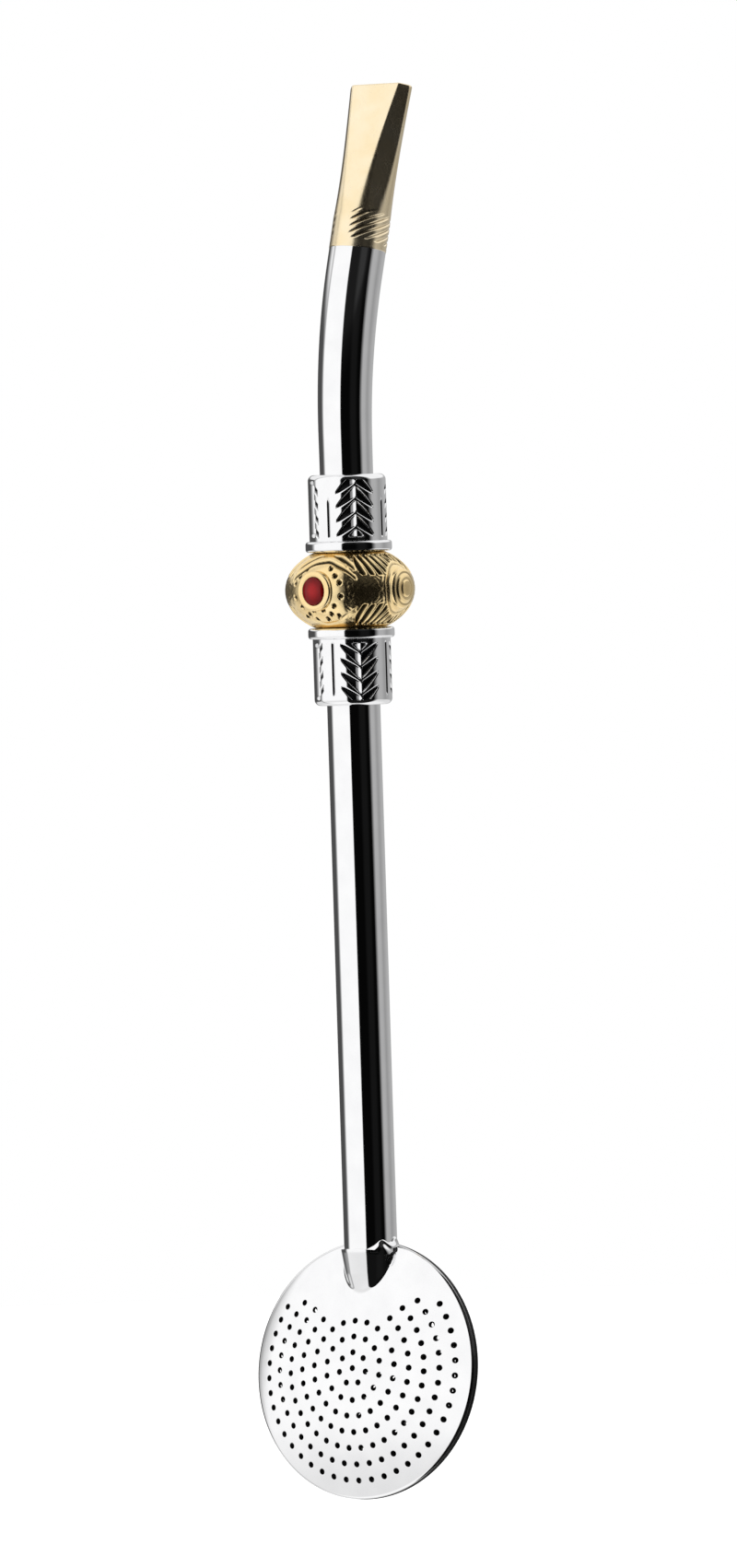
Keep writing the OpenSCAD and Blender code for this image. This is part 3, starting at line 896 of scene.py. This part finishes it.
def plate_layout(holes, mouth):
    """Points in a plate's own plane, edges to keep, and the point numbers round the rim and round each hole.

    The points lie in rings over the dome, and closer round the neck, with two rows at its mouth's step."""
    guard_r, ring_room, patch_room = 0.62, 0.95, 0.85
    ring_count, ring_reach, ring_step = 30, 18.25, 0.62
    patch_half, patch_foot, patch_head, patch_reach = 6.2, 8.6, 18.7, 18.85
    patch_step, row_ratio, mouth_room, mouth_half = 0.2, 0.87, 0.14, 0.025
    points, edges = [], []

    def add_circle(x, v, r, angles):
        first = len(points)
        points.extend((x + r * math.cos(t), v + r * math.sin(t)) for t in angles)
        return list(range(first, len(points)))

    def keep(circle):
        edges.extend(zip(circle, circle[1:] + circle[:1]))

    def free(x, v, room):
        return np.min(np.hypot(holes[:, 0] - x, holes[:, 1] - v)) > room

    rim = add_circle(0, 0, ROLL_START, RIM_TURNS)
    keep(rim)
    mouths = []
    for x, v in holes:
        add_circle(x, v, guard_r, HOLE_TURNS)
        mouths.append(add_circle(x, v, HOLE_MOUTH_R, HOLE_TURNS))
        keep(mouths[-1])
    for k in range(1, ring_count + 1):
        r = k * ring_reach / ring_count
        count = max(6, int(round(TAU * r / ring_step)))
        for t in (np.arange(count) + 0.5 * (k % 2)) * TAU / count:
            x, v = r * math.cos(t), r * math.sin(t)
            in_patch = abs(x) < patch_half and patch_foot < v < patch_head
            if not in_patch and free(x, v, ring_room):
                points.append((x, v))
    columns = np.arange(-patch_half, patch_half + TINY, patch_step)
    for i, v in enumerate(np.arange(patch_foot, patch_head, patch_step * row_ratio)):
        if abs(v - mouth) < mouth_room:
            continue
        for x in columns + (patch_step / 2 if i % 2 else 0):
            if math.hypot(x, v) < patch_reach and free(x, v, patch_room):
                points.append((x, v))
    for x in columns:
        for v in (mouth - mouth_half, mouth + mouth_half):
            if math.hypot(x, v) < patch_reach:
                points.append((x, v))
    return points, edges, rim, mouths


def rim_section():
    """Radius and height from the dome over the rolled edge, by the groove between the plates, to the land."""
    lip, lip_fall, groove = 0.03, 0.05, 0.25
    tangent = math.asin(ROLL_START / DOME_R)
    centre_h = float(dome_height(ROLL_START, 0)) - RIM_ROLL * math.cos(tangent)
    section = arc(RIM_X, centre_h, RIM_ROLL, 90 - math.degrees(tangent), 90 - math.degrees(RIM_TURN), 10)[1:]
    return section + [(RIM_OUT - lip, section[-1][1] - lip_fall), (RIM_OUT - groove, 0), (LAND_R, 0)]


def filter_plate(name, node, sign):
    """sign is 1 for the front plate and -1 for the back plate."""
    joint_gap, inner_straight, hair, to_the_hull = 0.02, 17.9, 0.005, 0
    holes = hole_places()
    mouth = (NECK_MOUTH_Z - DISC_Z) / math.cos(LEAN) - sign * NECK_MOUTH_SHIFT
    points, edges, rim, mouths = plate_layout(holes, mouth)
    flat, _, tris, source, _, _ = delaunay_2d_cdt([Vector(p) for p in points], edges, [], to_the_hull, TINY)
    flat = np.array([tuple(p) for p in flat])
    tris = np.array(tris)
    where = {old: new for new, olds in enumerate(source) for old in olds}
    centre = flat[tris].mean(1)
    away = np.hypot(centre[:, None, 0] - holes[None, :, 0], centre[:, None, 1] - holes[None, :, 1])
    tris = tris[np.min(away, 1) > HOLE_MOUTH_R - hair]

    # The inside follows the outside a plate's thickness lower, and is drawn in to the land at the rim
    outer_h = plate_height(flat[:, 0], flat[:, 1], sign, mouth)
    inner_h = np.maximum(outer_h - PLATE_T, joint_gap)
    reach = np.hypot(flat[:, 0], flat[:, 1])
    drawn_in = np.interp(reach, (0, inner_straight, ROLL_START), (0, inner_straight, LAND_R - joint_gap))
    inner = flat * (drawn_in / np.maximum(reach, TINY))[:, None]
    count = len(flat)
    verts = np.column_stack([flat, outer_h]).tolist() + np.column_stack([inner, inner_h]).tolist()
    faces = [tuple(t) for t in tris] + [tuple(t + count)[::-1] for t in tris]
    # The whole inside is marked dark: painted shade within the hollow filter
    marks = [0.0] * count + [1.0] * count

    def join(circle, rows):
        """Walls from the outside to the inside at a circle, by way of rows of points with one mark each."""
        chain = [[where[i] for i in circle]]
        for row, mark in rows:
            chain.append(list(range(len(verts), len(verts) + len(row))))
            verts.extend(row)
            marks.extend([mark] * len(row))
        chain.append([where[i] + count for i in circle])
        faces.extend(ring_walls(chain))

    # Each hole's wall is marked dark: painted shade down the hole
    for circle, (x, v) in zip(mouths, holes):
        rows = []
        for r, drop, mark in HOLE_WALL:
            row = [(x + r * math.cos(t), v + r * math.sin(t)) for t in HOLE_TURNS]
            rows.append(([(px, pv, float(dome_height(px, pv)) - drop) for px, pv in row], mark))
        join(circle, rows)
    # The groove between the plates is marked dark: painted shade
    join(rim, [(ring(r, RIM_TURNS, h).tolist(), RIM_PAINTED_SHADE * float(1 - smooth_step(h, *RIM_PAINTED_SHADE_EDGE)))
               for r, h in rim_section()])

    place = Matrix.Translation(Vector((0, DISC_Y, DISC_Z)) * MM) @ Matrix.Rotation(-LEAN, 4, "X")
    if sign < 0:
        place = place @ Matrix.Rotation(math.pi, 4, "Z")
    place = place @ Matrix.Rotation(math.radians(90), 4, "X")
    add_piece(name, verts, faces, "silver_plate", silver_plate, nodes=[node], crease=50, marks={"cut": marks},
              place=place)


filter_plate("filter_plate_front", "filter_front_plate", sign=1)
filter_plate("filter_plate_back", "filter_back_plate", sign=-1)


# Solder: an uneven fillet round the stem where it leaves the socket, with a lump at the right

SOLDER_H = 0.36
SOLDER_REACH = 0.46
LUMP_TURN = math.radians(-12)
LUMP_SPAN = (0.55, 0.96)
LUMP_H = 1.5
LUMP_REACH = 0.12
LUMP_DROP = 0.30

# Waves in the height of the solder and of its lump: size, count round the stem, phase
SOLDER_WAVES = ((0.08, 3, 0.7), (0.06, 7, 2.1), (0.03, 13, 0))
LUMP_WAVES = ((0.35, 9, 0.4),)

# Ripple of the lump's skin: share of its reach, count round the stem, climb
RIPPLE = 0.20
RIPPLE_COUNT = 11
RIPPLE_CLIMB = 5


def wave_sum(turn, table):
    return sum(size * np.sin(count * turn + phase) for size, count, phase in table)


def neck_solder():
    rows, skin, inside, base, lift = 14, 0.02, 0.1, 0.18, 0.03
    turn = turns(240)
    lump = smooth_step(np.cos(turn - LUMP_TURN), *LUMP_SPAN)
    height = SOLDER_H + wave_sum(turn, SOLDER_WAVES) + lump * (LUMP_H + wave_sum(turn, LUMP_WAVES))
    reach = SOLDER_REACH + LUMP_REACH * lump
    foot = NECK_MOUTH_Z + lift - LUMP_DROP * lump
    rings = []
    for t in np.linspace(0, QUARTER, rows):
        # The fillet is hollow, the lump is round
        out = (1 - lump) * (1 - math.sin(t)) + lump * math.cos(t)
        up = (1 - lump) * (1 - math.cos(t)) + lump * math.sin(t)
        ripple = 1 + RIPPLE * lump * np.sin(RIPPLE_COUNT * turn + RIPPLE_CLIMB * t) * math.sin(2 * t)
        rings.append(ring(STEM_R + skin + (reach - skin) * out * ripple, turn, foot + height * up))
    rings.append(ring(STEM_R - inside, turn, rings[-1][:, 2]))
    rings.append(ring(STEM_R - inside, turn, foot - base))
    rings.append(ring(STEM_R + reach, turn, foot - base))
    add_rings("neck_solder", rings, "silver_plate", silver_plate,
              marks={"cut": np.zeros((len(rings), len(turn)))})


neck_solder()


# Studio: a white field to the left, a dark field to the right, greys behind, a small pale floor

def studio_world():
    world = bpy.data.worlds.new("studio")
    bpy.context.scene.world = world
    world.use_nodes = True
    nodes, links = world.node_tree.nodes, world.node_tree.links
    nodes.clear()
    coords = nodes.new("ShaderNodeTexCoord")
    split = nodes.new("ShaderNodeSeparateXYZ")
    links.new(coords.outputs["Generated"], split.inputs[0])
    front = math_node(nodes, links, "MULTIPLY", split.outputs["Y"], -1)
    bearing = math_node(nodes, links, "ARCTAN2", split.outputs["X"], front)
    share = map_range(nodes, links, bearing, (-math.pi, math.pi), (0, 1))

    def fields(black, sheen, light, shade, dark, white=1.08):
        """Levels round the horizon, by bearing in degrees from the front, as a ramp."""
        levels = ((-180, light), (-149, light), (-145, dark), (-84, dark), (-76, 0.4 * white), (-69.5, white),
                  (13, white), (15.5, black), (50, black), (61, sheen), (77, sheen), (88, black), (98, black),
                  (104, 0.4 * light), (112, light), (126, light), (142, shade), (170, light), (180, light))
        ramp = nodes.new("ShaderNodeValToRGB")
        stops = ramp.color_ramp.elements
        while len(stops) < len(levels):
            stops.new(0.5)
        for stop, (angle, level) in zip(stops, levels):
            stop.position = (angle + 180) / 360
            stop.color = (*grey(level), 1)
        links.new(share, ramp.inputs["Fac"])
        return ramp.outputs["Color"]

    def by_height(first, second, low, high, most=1):
        """Goes over to a second colour, wholly or in part, as a direction's height goes from low to high."""
        factor = map_range(nodes, links, split.outputs["Z"], (low, high), (0, most), "SMOOTHSTEP")
        return mix_colour(nodes, links, factor, first, second)

    level = fields(black=0.002, sheen=0.008, light=0.46, shade=0.34, dark=0.08)
    tilted = fields(black=0.008, sheen=0.012, light=1.0, shade=0.95, dark=0.95)
    raised = fields(black=0.012, sheen=0.036, light=1.0, shade=0.95, dark=0.95)
    walls = by_height(level, tilted, 0.15, 0.34)
    walls = by_height(walls, raised, 0.27, 0.36)
    walls = by_height(walls, tilted, -0.15, -0.34)
    sky = by_height(walls, grey(0), -0.02, -0.40, most=0.20)
    sky = by_height(sky, walls, -0.50, -0.75)
    sky = by_height(sky, grey(0.7), 0.95, 0.99)
    sky = by_height(sky, grey(0.9), -0.95, -0.99)
    path = nodes.new("ShaderNodeLightPath")
    seen = mix_colour(nodes, links, path.outputs["Is Camera Ray"], sky, grey(1))
    background = nodes.new("ShaderNodeBackground")
    links.new(seen, background.inputs["Color"])
    out = nodes.new("ShaderNodeOutputWorld")
    links.new(background.outputs[0], out.inputs["Surface"])


FLOOR_R = 380.0
FLOOR_DROP = 0.4
FLOOR_WAVES = 900
FLOOR_GLOW = 0.72


def floor_material():
    """Pale and matt, lifted to white for the rays that show it, but still shaded by the object."""
    mat, nodes, links, shader = new_material("floor_pale")
    grain = noise(nodes, links, FLOOR_WAVES, 4)
    links.new(mix_colour(nodes, links, grain, grey(0.80), grey(0.84)), shader.inputs["Base Color"])
    shader.inputs["Roughness"].default_value = 0.9
    shader.inputs["Specular IOR Level"].default_value = 0
    path = nodes.new("ShaderNodeLightPath")
    shown = math_node(nodes, links, "ADD", path.outputs["Is Camera Ray"], path.outputs["Is Glossy Ray"])
    shown = math_node(nodes, links, "ADD", shown, path.outputs["Is Transmission Ray"], clamp=True)
    shader.inputs["Emission Color"].default_value = (1, 1, 1, 1)
    links.new(math_node(nodes, links, "MULTIPLY", shown, FLOOR_GLOW), shader.inputs["Emission Strength"])
    return mat


def floor():
    """A round sheet just under the object, kept out of the metal's reflections, which show the studio."""
    mesh = bpy.data.meshes.new("floor")
    verts = (ring(FLOOR_R, turns(96), -FLOOR_DROP) * MM).tolist()
    mesh.from_pydata(verts, [], [list(range(len(verts)))])
    mesh.materials.append(floor_material())
    obj = bpy.data.objects.new("floor", mesh)
    obj.visible_glossy = False
    bpy.context.scene.collection.objects.link(obj)


CAMERA_AWAY = 1500.0
CAMERA_AIM_Z = 107.0
CAMERA_SHIFT = (1.834, 0.375)
FRAME_H = 235.6
SENSOR = 36.0


def camera():
    """The photograph's view, from far enough to be nearly without perspective."""
    level = Vector((math.cos(VIEW_AZIMUTH), math.sin(VIEW_AZIMUTH), 0))
    back = Vector((math.sin(VIEW_AZIMUTH), -math.cos(VIEW_AZIMUTH), 0)) * math.cos(VIEW_ELEVATION)
    back.z = math.sin(VIEW_ELEVATION)
    upright = back.cross(level)
    right = level * math.cos(VIEW_ROLL) + upright * math.sin(VIEW_ROLL)
    up = -level * math.sin(VIEW_ROLL) + upright * math.cos(VIEW_ROLL)
    target = Vector((0, 0, CAMERA_AIM_Z)) + right * CAMERA_SHIFT[0] + up * CAMERA_SHIFT[1]
    data = bpy.data.cameras.new("camera")
    data.sensor_width = SENSOR
    data.lens = SENSOR * CAMERA_AWAY / FRAME_H
    data.clip_start = 0.05
    data.clip_end = 20
    obj = bpy.data.objects.new("camera", data)
    place = Matrix((right, up, back)).transposed().to_4x4()
    place.translation = (target + back * CAMERA_AWAY) * MM
    obj.matrix_world = place
    bpy.context.scene.collection.objects.link(obj)
    bpy.context.scene.camera = obj


studio_world()
floor()
camera()
bpy.context.scene.view_settings.view_transform = "Standard"

bpy.context.view_layer.update()
